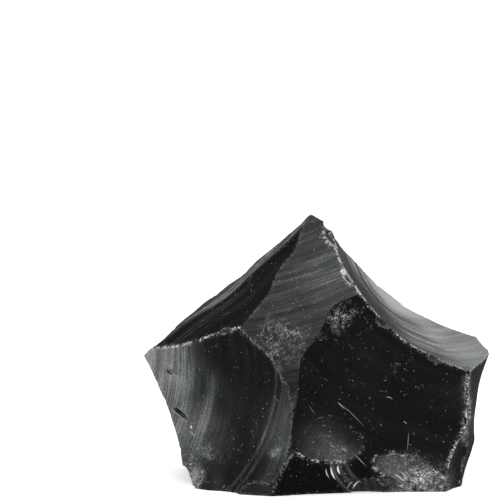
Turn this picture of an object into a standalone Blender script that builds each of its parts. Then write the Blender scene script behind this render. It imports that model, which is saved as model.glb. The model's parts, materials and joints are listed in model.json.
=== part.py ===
"""A palm-sized chunk of rough obsidian, broken into a five-cornered lump that stands on its base.

The stone is made the way it came about: flakes are struck off a rough block, one after another.
A large flake leaves a shallow curved scar, so each large cutter has an inner face that follows a
height formula. A small chip is a flattened oval cutter. All the sizes here are in millimetres, the
stone's front faces -Y, its flat base lies on Z = 0, and the mesh is written in metres.
"""

import math
from dataclasses import dataclass

import bmesh
import bpy
from mathutils import Matrix, Vector

MM = 0.001
NODE = "obsidian_chunk"

# The rough block that the flakes are struck off: its size in X, Y and Z.
BLOCK_SIZE = (79.3, 55.1, 60.7)
# Moves the middle of the finished stone's box onto the origin.
CENTRE_SHIFT = (0.03, -2.47)

SCAR_STEP = 2.15         # spacing of the points on a scar's face
SCAR_LIFT = 75.0         # how far a cutter reaches out past its scar
CHIP_SEGMENTS = 20       # points round a chip's rim
CHIP_RINGS = 10
RIM_WOBBLE = 0.13        # how uneven a chip's rim is, as a share of its reach

SWELL_LENGTHS = (21.0, 14.0, 10.0)     # wavelengths of the slow unevenness of a broken face
SWELL_HEADINGS = (35.0, 118.0, 71.0)   # degrees in the plane of the scar
SWELL_SHARES = (1.0, 0.55, 0.35)


@dataclass(frozen=True)
class Scar:
    """A large flake scar: a point on it, the way it faces, and how it is bent.

    heading is in degrees from the front (-Y) towards the right (+X), tilt is in degrees upwards.
    bow_across and bow_up are radii: positive is hollow, negative is bulging and 0 is flat.
    steepen is the radius-like length squared of a cubic term that turns the face up to one side.
    ripple is the height of the rings around the strike point, which is (across, up) from spot.
    """

    name: str
    spot: tuple
    heading: float
    tilt: float
    roll: float = 0.0
    bow_across: float = 0.0
    bow_up: float = 0.0
    steepen: float = 0.0
    half_size: tuple = (48.0, 48.0)
    swell: float = 0.2
    ripple: float = 0.0
    ripple_length: float = 8.0
    strike: tuple = (0.0, 0.0)
    lumps: tuple = ()


@dataclass(frozen=True)
class Chip:
    """A small chip: an oval of half sizes (across, up, deep) sunk into the stone at spot.

    square above 2 makes the oval boxier, and taper narrows it towards its right-hand end.
    """

    name: str
    spot: tuple
    heading: float
    tilt: float
    roll: float
    half_size: tuple
    sink: float
    square: float = 2.0
    taper: float = 0.0


SCARS = (
    Scar("brow", (-2.0, -11.5, 40.1), -1.7, 27.0, -42.0, -180.0, -84.0, swell=0.12),
    Scar("left_scoop", (-16.9, -3.3, 40.5), -54.0, 41.0, 0.0, -420.0, 190.0,
         swell=0.25, ripple=0.1, ripple_length=7.0, strike=(-128.0, 80.0)),
    Scar("left_shell", (-17.1, -11.9, 17.8), -28.5, 9.0, -11.0, 320.0, 51.0, 650.0,
         half_size=(47.0, 48.0), swell=0.15, ripple=0.05, ripple_length=8.5, strike=(-33.0, 1.0),
         lumps=(((-13.4, -20.6, 0.5), 3.2, 1.8), ((-22.5, -15.5, 0.5), 0.8, 2.0))),
    Scar("dark_scoop", (11.9, -14.1, 23.9), 11.6, 13.4, 0.0, 215.0, 0.0, swell=0.22),
    Scar("right_slope", (20.5, -0.8, 32.6), 71.0, 55.0, 28.0, 69.0, 39.0, -4000.0,
         swell=0.12, ripple=0.03, ripple_length=6.0, strike=(22.0, 2.0)),
    Scar("right_edge", (33.5, -10.5, 20.0), 74.0, -4.0, half_size=(36.0, 36.0), swell=0.3),
    Scar("right_waist", (35.1, -4.0, 15.0), 104.0, -8.0, bow_up=32.0, half_size=(36.0, 16.0)),
    Scar("right_shoulder", (38.2, 4.5, 26.6), 106.0, 24.0, bow_across=60.0, half_size=(34.0, 14.0)),
    Scar("right_foot", (34.6, -3.0, 9.5), 98.0, -24.0, bow_across=90.0, half_size=(36.0, 30.0)),
    Scar("undercut", (5.9, -19.1, 5.1), 9.4, -6.5, bow_across=137.0, half_size=(44.0, 14.0),
         swell=0.1, ripple=0.06, ripple_length=6.5, strike=(7.5, 3.5)),
    Scar("back_left", (-19.9, 10.9, 35.8), -130.0, 45.0, bow_across=340.0,
         swell=0.4, ripple=0.2, ripple_length=10.0, strike=(-8.0, 40.0)),
    Scar("back_right", (20.5, 12.6, 33.7), 145.0, 48.0, bow_across=100.0, bow_up=260.0,
         swell=0.3, ripple=0.15, ripple_length=9.0, strike=(0.0, 38.0)),
    Scar("back_low", (2.0, 22.0, 12.0), 176.0, 8.0, bow_across=100.0, bow_up=90.0,
         swell=0.5, ripple=0.25, ripple_length=11.0, strike=(-34.0, 14.0)),
    Scar("back_corner", (-25.0, 15.0, 15.0), -142.0, -6.0, bow_across=120.0, bow_up=70.0,
         half_size=(40.0, 40.0), swell=0.4, ripple=0.15, strike=(12.0, 20.0)),
    Scar("left_low", (-28.8, 3.1, 12.9), -105.0, -33.0, bow_across=95.0, bow_up=100.0,
         half_size=(45.0, 34.0)),
)

CHIPS = (
    # the shallow step above the dark underside, and the crushed notch beside it
    Chip("step", (5.2, -18.9, 10.0), 3.0, 27.0, -30.0, (8.2, 5.2, 2.2), 0.9, 3.2, 0.2),
    Chip("notch", (18.4, -17.4, 4.4), 12.0, 24.0, -12.0, (5.9, 3.9, 1.7), 1.0, 2.6, -0.2),
    Chip("notch_side", (24.6, -16.7, 1.8), 16.0, 14.0, 8.0, (3.8, 2.2, 1.2), 0.5),
    Chip("foot_flake", (12.6, -17.9, 0.9), -8.0, -14.0, 14.0, (5.6, 3.4, 1.5), 0.75),
    # the two small chips on the left face and the crushed heel below them
    Chip("crescent", (-30.0, -5.4, 15.0), -33.0, 16.0, -22.0, (3.3, 1.1, 0.8), 0.45),
    Chip("nick", (-32.0, -1.7, 23.2), -41.0, 9.0, -8.0, (2.2, 0.75, 0.6), 0.3),
    Chip("heel", (-26.8, -12.4, 1.6), -62.0, 6.0, 20.0, (4.4, 3.4, 1.6), 0.8),
    # bites out of the right-hand edge
    Chip("edge_bite", (31.8, -15.0, 4.0), 58.0, -4.0, -24.0, (7.0, 12.0, 4.0), 2.6),
    Chip("edge_nibble", (33.4, -12.2, 16.8), 50.0, 4.0, -8.0, (1.6, 3.4, 1.1), 0.5),
    # bites along the crest between the dark face and the right slope
    Chip("crest_top", (3.6, -3.4, 52.4), 44.0, 40.0, 34.0, (1.5, 3.6, 1.0), 0.45),
    Chip("crest_high", (7.4, -8.6, 44.6), 42.0, 44.0, 30.0, (1.5, 3.2, 1.0), 0.4),
    Chip("crest_middle", (14.6, -10.9, 35.2), 36.0, 50.0, 40.0, (3.4, 1.7, 1.0), 0.45),
    Chip("crest_low", (26.0, -10.9, 27.3), 30.0, 52.0, 64.0, (1.6, 3.0, 1.0), 0.4),
    # bites along the left shoulder
    Chip("shoulder_low", (-27.4, -4.6, 31.4), -44.0, 30.0, -12.0, (3.6, 1.4, 1.0), 0.45),
    Chip("shoulder_high", (-19.6, -10.0, 33.9), -38.0, 26.0, -8.0, (3.0, 1.2, 1.0), 0.4),
    # larger flakes off the back and the left flank
    Chip("back_hollow", (-12.0, 23.0, 17.0), -174.0, 16.0, 25.0, (17.0, 11.0, 5.0), 2.0),
    Chip("back_shelf", (16.6, 22.4, 12.5), 184.0, 22.0, -30.0, (13.0, 8.0, 3.2), 1.3),
    Chip("back_ridge", (10.0, 19.6, 33.4), 158.0, 32.0, 20.0, (9.0, 5.5, 2.4), 1.2),
    Chip("left_flank", (-28.5, 8.0, 12.9), -112.0, -22.0, 15.0, (9.0, 6.0, 2.6), 1.1),
    # the flat knocked off the very top
    Chip("peak", (2.2, -1.0, 55.4), 72.0, 40.0, 10.0, (3.2, 1.5, 1.0), 0.45),
)


def clear_scene():
    """Takes away whatever the new scene starts with."""
    for thing in list(bpy.data.objects):
        bpy.data.objects.remove(thing, do_unlink=True)


def facing(heading, tilt):
    """The unit vector that a face with this heading and tilt looks along."""
    turn = math.radians(heading)
    rise = math.radians(tilt)
    return Vector((math.sin(turn) * math.cos(rise), -math.cos(turn) * math.cos(rise), math.sin(rise)))


def scar_axes(heading, tilt, roll):
    """The across, up and outward directions of a scar."""
    outward = facing(heading, tilt)
    across = Vector((0.0, 0.0, 1.0)).cross(outward).normalized()
    up = outward.cross(across)
    turn = math.radians(roll)
    return (across * math.cos(turn) + up * math.sin(turn),
            up * math.cos(turn) - across * math.sin(turn),
            outward)


def bend(distance, radius):
    """Height of a shallow bow of the given radius at a distance from its middle."""
    if radius == 0.0:
        return 0.0
    return distance * distance / (2.0 * radius)


def swell_height(across, up, phase):
    """Slow unevenness of a broken face, as a sum of a few waves."""
    height = 0.0
    for length, heading, share in zip(SWELL_LENGTHS, SWELL_HEADINGS, SWELL_SHARES):
        turn = math.radians(heading + 40.0 * phase)
        along = across * math.cos(turn) + up * math.sin(turn)
        height += share * math.sin(2.0 * math.pi * along / length + 5.0 * phase)
    return height


def ripple_height(scar, across, up):
    """Rings around the strike point, closer together and lower further out."""
    reach = math.hypot(across - scar.strike[0], up - scar.strike[1])
    rings = reach / scar.ripple_length + 0.2 * math.sin(reach / 6.0)
    return scar.ripple * math.sin(2.0 * math.pi * rings)


def scar_height(scar, number, across, up, axes):
    """How far the scar's face stands out at (across, up) from its spot."""
    height = bend(across, scar.bow_across) + bend(up, scar.bow_up)
    if scar.steepen:
        height += across ** 3 / (6.0 * scar.steepen)
    height += scar.swell * swell_height(across, up, number)
    if scar.ripple:
        height += ripple_height(scar, across, up)
    for place, rise, width in scar.lumps:
        offset = Vector(place) - Vector(scar.spot)
        away = math.hypot(across - offset.dot(axes[0]), up - offset.dot(axes[1]))
        height += rise * math.exp(-away * away / (2.0 * width * width))
    return height


def steps_between(half):
    """Evenly spaced places from -half to half."""
    count = max(2, round(2.0 * half / SCAR_STEP))
    return [-half + 2.0 * half * number / count for number in range(count + 1)]


def add_object(name, mesh_maker):
    """A new object whose mesh is made by mesh_maker in millimetres and then scaled to metres."""
    shape = bmesh.new()
    mesh_maker(shape)
    move = Vector((CENTRE_SHIFT[0], CENTRE_SHIFT[1], 0.0))
    bmesh.ops.translate(shape, verts=shape.verts[:], vec=move)
    bmesh.ops.scale(shape, verts=shape.verts[:], vec=(MM, MM, MM))
    bmesh.ops.recalc_face_normals(shape, faces=shape.faces[:])
    mesh = bpy.data.meshes.new(name)
    shape.to_mesh(mesh)
    shape.free()
    thing = bpy.data.objects.new(name, mesh)
    bpy.context.scene.collection.objects.link(thing)
    return thing


def add_block():
    """The rough block, standing on Z = 0."""
    def shape_block(shape):
        centre = Matrix.Translation((0.0, 0.0, BLOCK_SIZE[2] / 2.0))
        size = Matrix.Diagonal((*BLOCK_SIZE, 1.0))
        bmesh.ops.create_cube(shape, size=1.0, matrix=centre @ size)
    return add_object(NODE, shape_block)


def add_scar_cutter(scar, number):
    """A closed block whose inner face is the scar and whose other faces lie outside the stone."""
    axes = scar_axes(scar.heading, scar.tilt, scar.roll)
    across_steps = steps_between(scar.half_size[0])
    up_steps = steps_between(scar.half_size[1])

    def shape_cutter(shape):
        rows = []
        for up in up_steps:
            row = []
            for across in across_steps:
                height = scar_height(scar, number, across, up, axes)
                place = Vector(scar.spot) + axes[0] * across + axes[1] * up + axes[2] * height
                row.append(shape.verts.new(place))
            rows.append(row)
        for lower, upper in zip(rows, rows[1:]):
            for near in range(len(across_steps) - 1):
                shape.faces.new((lower[near], lower[near + 1], upper[near + 1], upper[near]))
        close_outwards(shape, axes, Vector(scar.spot))
    return hide_cutter(add_object("scar_" + scar.name, shape_cutter))


def close_outwards(shape, axes, spot):
    """Lifts a copy of the open face outwards and closes the sides between the two."""
    faces = shape.faces[:]
    lifted = bmesh.ops.extrude_face_region(shape, geom=faces, use_keep_orig=True)
    for item in lifted["geom"]:
        if isinstance(item, bmesh.types.BMVert):
            level = (item.co - spot).dot(axes[2])
            item.co += axes[2] * (SCAR_LIFT - level)


def rim_factor(chip, angle, number):
    """How far a chip's boxy, uneven rim reaches in this direction, against an even oval."""
    boxy = (abs(math.cos(angle)) ** chip.square
            + abs(math.sin(angle)) ** chip.square) ** (-1.0 / chip.square)
    return boxy * (1.0 + RIM_WOBBLE * math.sin(2.0 * angle + 2.1 * number)
                   + 0.6 * RIM_WOBBLE * math.sin(3.0 * angle + 1.3 * number))


def add_chip_cutter(chip, number):
    """A flattened uneven oval whose lowest point lies `sink` below the spot."""
    axes = scar_axes(chip.heading, chip.tilt, chip.roll)
    centre = Vector(chip.spot) + axes[2] * (chip.half_size[2] - chip.sink)
    turn = Matrix((axes[0], axes[1], axes[2])).transposed().to_4x4()
    place = Matrix.Translation(centre) @ turn @ Matrix.Diagonal((*chip.half_size, 1.0))

    def shape_chip(shape):
        bmesh.ops.create_uvsphere(shape, u_segments=CHIP_SEGMENTS, v_segments=CHIP_RINGS,
                                  radius=1.0)
        for vert in shape.verts:
            widen = rim_factor(chip, math.atan2(vert.co.y, vert.co.x), number)
            vert.co.x *= widen
            vert.co.y *= widen * (1.0 - chip.taper * vert.co.x)
        shape.transform(place)
    return hide_cutter(add_object("chip_" + chip.name, shape_chip))


def hide_cutter(cutter):
    """Cutters are drawn as wires and never rendered."""
    cutter.display_type = "WIRE"
    cutter.hide_render = True
    return cutter


def cut(stone, cutter):
    """Takes the cutter's space out of the stone."""
    step = stone.modifiers.new(cutter.name, "BOOLEAN")
    step.operation = "DIFFERENCE"
    step.solver = "EXACT"
    step.object = cutter


def volcanic_glass():
    """Near-black natural glass with a greasy shine."""
    finish = bpy.data.materials.new("volcanic_glass")
    finish.use_nodes = True
    surface = finish.node_tree.nodes["Principled BSDF"]
    surface.inputs["Base Color"].default_value = (0.006, 0.006, 0.007, 1.0)
    surface.inputs["Roughness"].default_value = 0.16
    surface.inputs["IOR"].default_value = 1.49
    return finish


def main():
    clear_scene()
    stone = add_block()
    stone.data.materials.append(volcanic_glass())
    for number, scar in enumerate(SCARS):
        cut(stone, add_scar_cutter(scar, number))
    for number, chip in enumerate(CHIPS):
        cut(stone, add_chip_cutter(chip, number))


main()
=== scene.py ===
"""Looks of a palm-sized chunk of rough obsidian that stands on its flat base.

The stone is modelled the way it came about. Flakes are struck off a rough block, one after
another: large shallow scars first, then small chips, then the fine bites along the sharp edges.
The result is a dense mesh that carries the rings of each break, and a near-black glass with
streaks, dust and pale crushed edges, with a few reflections and ripple highlights painted into
its colour. All the sizes are millimetres and the mesh is in metres.
"""

import json
import logging
import math
from collections.abc import Callable
from dataclasses import dataclass, field
from enum import Enum
from functools import partial

import bpy
import numpy as np
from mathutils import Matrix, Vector
from mathutils.kdtree import KDTree

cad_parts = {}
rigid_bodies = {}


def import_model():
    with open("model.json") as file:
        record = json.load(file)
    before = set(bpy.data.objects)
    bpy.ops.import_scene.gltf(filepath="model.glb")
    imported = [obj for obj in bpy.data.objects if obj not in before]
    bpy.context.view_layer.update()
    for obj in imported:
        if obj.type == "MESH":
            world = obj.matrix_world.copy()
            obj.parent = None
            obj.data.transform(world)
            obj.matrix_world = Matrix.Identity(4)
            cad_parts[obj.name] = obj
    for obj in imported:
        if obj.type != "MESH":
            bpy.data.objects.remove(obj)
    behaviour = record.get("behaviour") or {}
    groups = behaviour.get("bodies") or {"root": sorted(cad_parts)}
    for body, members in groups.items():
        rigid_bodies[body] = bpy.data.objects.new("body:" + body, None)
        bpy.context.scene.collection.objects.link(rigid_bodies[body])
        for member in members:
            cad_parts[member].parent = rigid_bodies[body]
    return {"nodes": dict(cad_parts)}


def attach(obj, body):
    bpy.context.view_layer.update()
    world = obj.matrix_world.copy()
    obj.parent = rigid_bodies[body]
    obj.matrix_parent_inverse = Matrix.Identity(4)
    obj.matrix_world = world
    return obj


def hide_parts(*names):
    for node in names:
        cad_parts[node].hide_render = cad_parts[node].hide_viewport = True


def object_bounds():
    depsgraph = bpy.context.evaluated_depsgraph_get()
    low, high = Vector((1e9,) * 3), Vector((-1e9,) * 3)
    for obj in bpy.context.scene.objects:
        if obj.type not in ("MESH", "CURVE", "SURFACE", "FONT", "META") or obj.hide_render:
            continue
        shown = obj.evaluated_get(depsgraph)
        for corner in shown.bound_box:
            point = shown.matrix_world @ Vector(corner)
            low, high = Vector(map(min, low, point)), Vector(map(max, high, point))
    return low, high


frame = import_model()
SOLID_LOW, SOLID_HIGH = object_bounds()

MM = 0.001
FLOW_UNIT = 100.0                    # millimetres to one unit of the flow map
NODE = "obsidian_chunk"
CENTRE_SHIFT = (0.03, -2.47, 0.0)    # moves the middle of the stone's box onto the origin

log = logging.getLogger("obsidian")


def linear(hex_colour: str) -> tuple[float, float, float, float]:
    """Turns an sRGB hex colour into linear values.

    Args:
        hex_colour: six hex digits, such as "0b0c0d".

    Returns:
        Red, green, blue and alpha for a node socket.
    """
    values = []
    for start in (0, 2, 4):
        part = int(hex_colour[start:start + 2], 16) / 255.0
        values.append(part / 12.92 if part <= 0.04045 else ((part + 0.055) / 1.055) ** 2.4)
    return (values[0], values[1], values[2], 1.0)


def facing(heading: float, tilt: float) -> np.ndarray:
    """Direction that a face looks along.

    Args:
        heading: degrees from the front (-Y) towards the right (+X).
        tilt: degrees upwards.

    Returns:
        A unit vector.
    """
    turn, rise = math.radians(heading), math.radians(tilt)
    return np.array((math.sin(turn) * math.cos(rise), -math.cos(turn) * math.cos(rise),
                     math.sin(rise)))


def face_axes(heading: float, tilt: float, roll: float) -> np.ndarray:
    """Directions of a broken face.

    Args:
        heading: the way it faces, as in facing().
        tilt: degrees upwards.
        roll: degrees that it is turned about its own outward direction.

    Returns:
        Across, up and outward, as the rows of a matrix.
    """
    outward = facing(heading, tilt)
    across = np.cross((0.0, 0.0, 1.0), outward)
    across /= np.linalg.norm(across)
    up = np.cross(outward, across)
    turn = math.radians(roll)
    return np.array((across * math.cos(turn) + up * math.sin(turn),
                     up * math.cos(turn) - across * math.sin(turn), outward))


class Layer(Enum):
    """What the mesh keeps for the finish at each of its corners."""

    HAZE = "haze"         # dust film that follows the streaks, with painted reflections and ridge highlights in it
    VEIL = "veil"         # even dust film, and the painted reflection of the left shell's bright strip
    DUST = "dust"         # loose bright dust
    RIM = "rim"           # how near a worn edge is
    CRUSH = "crush"       # crushed glass
    STAIN = "stain"       # brown soil
    BITE = "bite"         # wall of a fine bite
    SCORED = "scored"     # near a hairline scratch or a painted ripple highlight


@dataclass(frozen=True)
class Scar:
    """A large flake scar: a point on it, the way it faces, and how it is bent.

    bow_across and bow_up are radii: positive is hollow, negative is bulging and 0 is flat.
    steepen is the length squared of a cubic term that turns the face up to one side. ripple is
    the height of the rings around strike, a place given as (across, up) from spot. Each of
    ridges is a single sharp ring: its distance from strike, its height and its half width; its
    crest also gets a painted highlight in the film. haze is how much glass dust films the face,
    and each of films is a ring of film: its distance from streaks_from, its half width, its
    middle and half length along the ring, and how much. Some of these rings are painted
    reflections: a bright strip, and with a negative amount a darker band.
    streaks_from is the place that the streaks run round, where it isn't strike.
    """

    name: str
    spot: tuple
    heading: float
    tilt: float
    roll: float = 0.0
    bow_across: float = 0.0
    bow_up: float = 0.0
    steepen: float = 0.0
    half_size: tuple = (48.0, 48.0)
    swell: float = 0.2
    ripple: float = 0.0
    ripple_length: float = 8.0
    strike: tuple = (0.0, 0.0)
    lumps: tuple = ()
    fine_ripple: float = 0.03
    ridges: tuple = ()
    haze: float = 0.2
    streaks_from: tuple = ()
    films: tuple = ()
    step: float = 0.45

    @property
    def axes(self) -> np.ndarray:
        """Across, up and outward directions, as the rows of a matrix."""
        return face_axes(self.heading, self.tilt, self.roll)

    def local(self, points: np.ndarray) -> np.ndarray:
        """Points as (across, up, outward) from the scar's spot."""
        return (points - np.array(self.spot)) @ self.axes.T

    def height(self, number: int, across: np.ndarray, up: np.ndarray) -> np.ndarray:
        """How far the scar's face stands out.

        Args:
            number: the scar's place in the list, which sets the phase of its unevenness.
            across: places across the face.
            up: places up the face.

        Returns:
            The height at each place.
        """
        height = bend(across, self.bow_across) + bend(up, self.bow_up)
        if self.steepen:
            height = height + across ** 3 / (6.0 * self.steepen)
        height = height + self.swell * swell_height(across, up, number)
        reach = np.hypot(across - self.strike[0], up - self.strike[1])
        if self.ripple:
            # the rings aren't quite evenly spaced
            rings = reach / self.ripple_length + 0.2 * np.sin(reach / 6.0)
            height = height + self.ripple * np.sin(2.0 * math.pi * rings)
        height = height + self.fine_ripple * fine_rings(
            reach, np.arctan2(up - self.strike[1], across - self.strike[0]), number)
        for distance, rise, width in self.ridges:
            height = height + rise * np.exp(-((reach - distance) / width) ** 2)
        for place, rise, width in self.lumps:
            offset = self.axes @ (np.array(place) - np.array(self.spot))
            away = np.hypot(across - offset[0], up - offset[1])
            height = height + rise * np.exp(-away * away / (2.0 * width * width))
        return height

    def flow(self, points: np.ndarray) -> np.ndarray:
        """Follows the streaks over the scar.

        Args:
            points: places in the stone's own drawing.

        Returns:
            For each place its distance around the streaks' middle, and from it.
        """
        place, (across, up) = self.local(points), self.streaks_from or self.strike
        angle = np.arctan2(place[:, 1] - up, place[:, 0] - across) - math.atan2(-up, -across)
        angle = (angle + math.pi) % (2.0 * math.pi) - math.pi
        reach = np.hypot(place[:, 0] - across, place[:, 1] - up)
        return np.stack((angle * max(12.0, math.hypot(across, up)), reach), axis=1)

    def dust_film_and_sheen(self, points: np.ndarray) -> np.ndarray:
        """Adds up the film: glass dust overall and in rings, painted reflections in some of the
        rings, and a painted highlight on each ridge.

        Args:
            points: places in the stone's own drawing.

        Returns:
            How thick the film of dust and painted sheen is at each place.
        """
        flow, place = self.flow(points), self.local(points)
        amount = np.full(len(points), self.haze)
        for distance, width, middle, length, rise in self.films:
            across = ((flow[:, 1] - distance) / width) ** 4
            amount = amount + rise * np.exp(-across - ((flow[:, 0] - middle) / length) ** 4)
        reach = np.hypot(place[:, 0] - self.strike[0], place[:, 1] - self.strike[1])
        # a painted highlight along the crest of each ridge
        for distance, rise, width in self.ridges:
            amount = amount + 3.0 * rise * np.exp(-((reach - distance) / width) ** 2)
        return amount


@dataclass(frozen=True)
class Chip:
    """A small chip: an uneven oval of half sizes (across, up, deep) sunk into the stone.

    square above 2 makes the oval boxier, taper narrows it towards its right-hand end, and rings
    is the height of the ripples in it.
    """

    name: str
    spot: tuple
    heading: float
    tilt: float
    roll: float
    half_size: tuple
    sink: float
    square: float = 2.0
    taper: float = 0.0
    rings: float = 0.0
    ragged: float = 0.05
    crush: float = 0.0
    haze: float = 0.15

    def local(self, points: np.ndarray) -> np.ndarray:
        """Measures from the middle of the oval.

        Args:
            points: places in the stone's own drawing.

        Returns:
            Each place as (across, up, outward), in half sizes of the oval.
        """
        place = (points - np.array(self.spot)) @ face_axes(self.heading, self.tilt, self.roll).T
        place[:, 2] -= self.half_size[2] - self.sink
        return place / np.array(self.half_size)


# length and heading of each slow wave, and its share
SWELL_WAVES = ((21.0, 35.0, 1.0), (14.0, 118.0, 0.55), (10.0, 71.0, 0.35))
# share of each fine ring, how it wanders, its length and its shift from face to face
RING_WAVES = ((0.55, 0.6, 2.9, 1.0), (0.45, -0.4, 1.9, 2.0), (0.5, 1.0, 4.7, 0.0))


def bend(distance: np.ndarray, radius: float) -> np.ndarray:
    """Height of a shallow bow of the given radius at a distance from its middle."""
    return distance * distance / (2.0 * radius) if radius else 0.0 * distance


def swell_height(across: np.ndarray, up: np.ndarray, phase: float) -> np.ndarray:
    """Slow unevenness of a broken face, as a sum of a few waves.

    Args:
        across: places across the face.
        up: places up the face.
        phase: tells one face's waves from another's.

    Returns:
        The height of the waves, for a strength of 1.
    """
    height = 0.0 * across
    for length, heading, share in SWELL_WAVES:
        turn = math.radians(heading + 40.0 * phase)
        along = across * math.cos(turn) + up * math.sin(turn)
        height = height + share * np.sin(2.0 * math.pi * along / length + 5.0 * phase)
    return height


def fine_rings(reach: np.ndarray, turn: np.ndarray, phase: float) -> np.ndarray:
    """Fine uneven rings of a break, from -1 to 1: they bunch up, fade and wander.

    Args:
        reach: distance from the strike point.
        turn: angle around the strike point, in radians.
        phase: sets which rings are strong.

    Returns:
        The height of the rings, for a strength of 1.
    """
    wander = 0.9 * np.sin(5.0 * turn + phase) + 0.35 * np.sin(13.0 * turn + 2.0 * phase)
    waves = 0.0
    for share, drift, length, shift in RING_WAVES:
        waves = waves + share * np.sin(2.0 * math.pi * (reach + drift * wander) / length
                                       + shift * phase)
    bunches = 0.5 + 0.5 * np.sin(reach / 3.3 + 1.7 * phase + 0.8 * np.sin(3.0 * turn))
    return waves * bunches


SCARS = (
    Scar("brow", (-2.0, -11.5, 40.1), -1.7, 27.0, -42.0, -180.0, -84.0, swell=0.12,
         strike=(-56.0, 32.0), fine_ripple=0.02, haze=0.12,
         films=((60.5, 5.5, 8.0, 9.0, 0.17), (58.2, 0.25, 6.0, 9.0, 0.28),
                (56.0, 0.5, 8.0, 8.0, 0.15), (62.6, 0.35, 6.0, 7.0, 0.2),
                (64.6, 0.5, -1.0, 7.0, 0.14))),
    Scar("left_scoop", (-16.9, -3.3, 40.5), -54.0, 41.0, 0.0, -420.0, 190.0,
         swell=0.25, ripple=0.1, ripple_length=7.0, strike=(-128.0, 80.0), fine_ripple=0.03,
         haze=0.01, films=((146.6, 1.4, 0.0, 60.0, 0.8), (149.9, 0.25, -6.0, 9.0, 0.12),
                           (150.8, 0.3, -8.0, 12.0, 0.15), (151.8, 0.2, -14.0, 8.0, 0.3))),
    Scar("left_shell", (-17.1, -11.9, 17.8), -28.5, 9.0, -11.0, 320.0, 51.0, 650.0,
         swell=0.15, ripple=0.05, ripple_length=8.5, strike=(-33.0, 1.0),
         ridges=((42.0, 0.09, 0.3), (43.5, 0.05, 0.35)), fine_ripple=0.025,
         lumps=(((-13.4, -20.6, 0.5), 3.2, 1.8), ((-22.5, -15.5, 0.5), 0.8, 2.0)),
         streaks_from=(-90.0, -10.0), haze=0.025,
         # the first of these films paints the bright reflected strip down the left side of the face
         films=((70.0, 8.2, 2.0, 30.0, 0.55), (83.4, 1.3, -4.0, 9.0, 0.3),
                (103.8, 2.4, 0.0, 16.0, 0.16))),
    Scar("dark_scoop", (11.9, -14.1, 23.9), 11.6, 13.4, 0.0, 215.0, 0.0, swell=0.22,
         strike=(30.0, 40.0), fine_ripple=0.004, haze=0.015),
    Scar("right_slope", (20.5, -0.8, 32.6), 71.0, 55.0, 28.0, 69.0, 39.0, -4000.0,
         swell=0.12, ripple=0.03, ripple_length=6.0, strike=(22.0, 2.0), fine_ripple=0.055,
         # the first film has a negative amount: a painted dark band, the darker reflection along
         # the streaks
         haze=0.3, films=((26.0, 6.6, -11.0, 9.0, -0.28), (22.0, 14.0, 15.0, 9.0, 0.26))),
    Scar("right_edge", (33.5, -10.5, 20.0), 74.0, -4.0, half_size=(36.0, 36.0), swell=0.3,
         haze=0.04),
    Scar("right_waist", (35.1, -4.0, 15.0), 104.0, -8.0, bow_up=32.0, half_size=(36.0, 16.0),
         step=0.6),
    Scar("right_shoulder", (38.2, 4.5, 26.6), 106.0, 24.0, bow_across=60.0,
         half_size=(34.0, 14.0)),
    Scar("right_foot", (34.6, -3.0, 9.5), 98.0, -24.0, bow_across=90.0,
         half_size=(36.0, 30.0), step=0.6),
    Scar("undercut", (5.9, -19.1, 5.1), 9.4, -6.5, bow_across=137.0, half_size=(44.0, 14.0),
         swell=0.1, ripple=0.06, ripple_length=6.5, strike=(7.5, 3.5),
         ridges=((7.2, 0.1, 0.32), (8.6, 0.12, 0.34), (10.1, 0.1, 0.36)), fine_ripple=0.012,
         haze=0.0),
    Scar("back_left", (-19.9, 10.9, 35.8), -130.0, 45.0, bow_across=340.0,
         swell=0.4, ripple=0.2, ripple_length=10.0, strike=(-8.0, 40.0), step=0.6, haze=0.05,
         films=((33.0, 6.0, 6.0, 16.0, 0.3), (47.0, 3.0, -8.0, 18.0, 0.22))),
    Scar("back_right", (20.5, 12.6, 33.7), 145.0, 48.0, bow_across=100.0, bow_up=260.0,
         swell=0.3, ripple=0.15, ripple_length=9.0, strike=(0.0, 38.0), step=0.6, haze=0.06,
         films=((30.0, 7.0, -4.0, 16.0, 0.35), (45.0, 2.5, 10.0, 14.0, 0.25))),
    Scar("back_low", (2.0, 22.0, 12.0), 176.0, 8.0, bow_across=100.0, bow_up=90.0,
         swell=0.5, ripple=0.25, ripple_length=11.0, strike=(-34.0, 14.0), step=0.6, haze=0.03,
         films=((24.0, 4.0, -6.0, 14.0, 0.28), (38.0, 2.0, 4.0, 12.0, 0.2),
                (52.0, 5.0, 0.0, 16.0, 0.22))),
    Scar("back_corner", (-25.0, 15.0, 15.0), -142.0, -6.0, bow_across=120.0, bow_up=70.0,
         half_size=(40.0, 40.0), swell=0.4, ripple=0.15, strike=(12.0, 20.0), step=0.6,
         haze=0.05, films=((19.0, 4.0, 0.0, 14.0, 0.25),)),
    Scar("left_low", (-28.8, 3.1, 12.9), -105.0, -33.0, bow_across=95.0, bow_up=100.0,
         half_size=(44.0, 34.0), step=0.6, haze=0.06, films=((14.0, 4.0, 0.0, 30.0, 0.16),)),
)

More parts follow.
